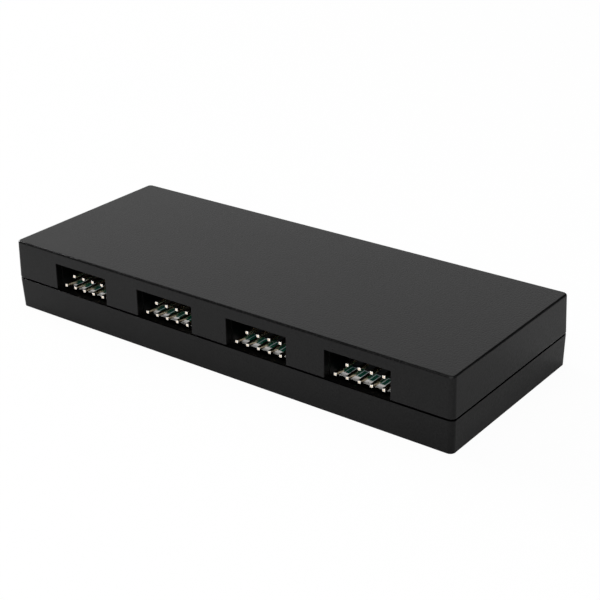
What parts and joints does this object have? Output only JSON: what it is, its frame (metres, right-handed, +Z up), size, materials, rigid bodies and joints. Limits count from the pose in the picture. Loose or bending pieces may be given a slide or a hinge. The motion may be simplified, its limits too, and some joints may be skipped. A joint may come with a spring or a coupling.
{
  "type": "internal usb hub",
  "caption": "Flat black plastic box with a row of open windows in its long side, each showing keyed header pins on a circuit board, for sharing an internal port in a computer case.",
  "frame": {"origin": "middle of the underside of the case", "axes": "+X along the row of ports, -Y out of the ports, +Z up through the cover"},
  "size_m": [0.1046, 0.0402, 0.0145],
  "materials": {
    "case_plastic": "fine spark texture, black",
    "header_plastic": "moulded, black",
    "pin_plating": "gold flash on brass",
    "board_laminate": "green solder mask on glass laminate",
    "screw_steel": "black zinc",
    "chip_moulding": "moulded epoxy",
    "tinned_lead": "matt tin",
    "can_metal": "drawn can",
    "fuse_laminate": "laminated",
    "chip_ceramic": "fired",
    "resistor_ceramic": "fired, black overglaze"
  },
  "bodies": {
    "root": {"bottom_case": "case_plastic", "capacitor_bases": "header_plastic", "capacitor_cans": "can_metal", "case_screws": "screw_steel", "chip_capacitors": "chip_ceramic", "chip_resistors": "resistor_ceramic", "circuit_board": "board_laminate", "crystal_base": "header_plastic", "crystal_can": "can_metal", "hub_chip": "chip_moulding", "hub_chip_leads": "tinned_lead", "port_1_header": "header_plastic", "port_1_pins": "pin_plating", "port_2_header": "header_plastic", "port_2_pins": "pin_plating", "port_3_header": "header_plastic", "port_3_pins": "pin_plating", "port_4_header": "header_plastic", "port_4_pins": "pin_plating", "port_fuses": "fuse_laminate", "power_contacts": "pin_plating", "power_inlet": "header_plastic", "regulator": "chip_moulding", "regulator_leads": "tinned_lead", "regulator_tab": "tinned_lead", "top_cover": "case_plastic", "uplink_header": "header_plastic", "uplink_pins": "pin_plating"}
  },
  "joints": []
}
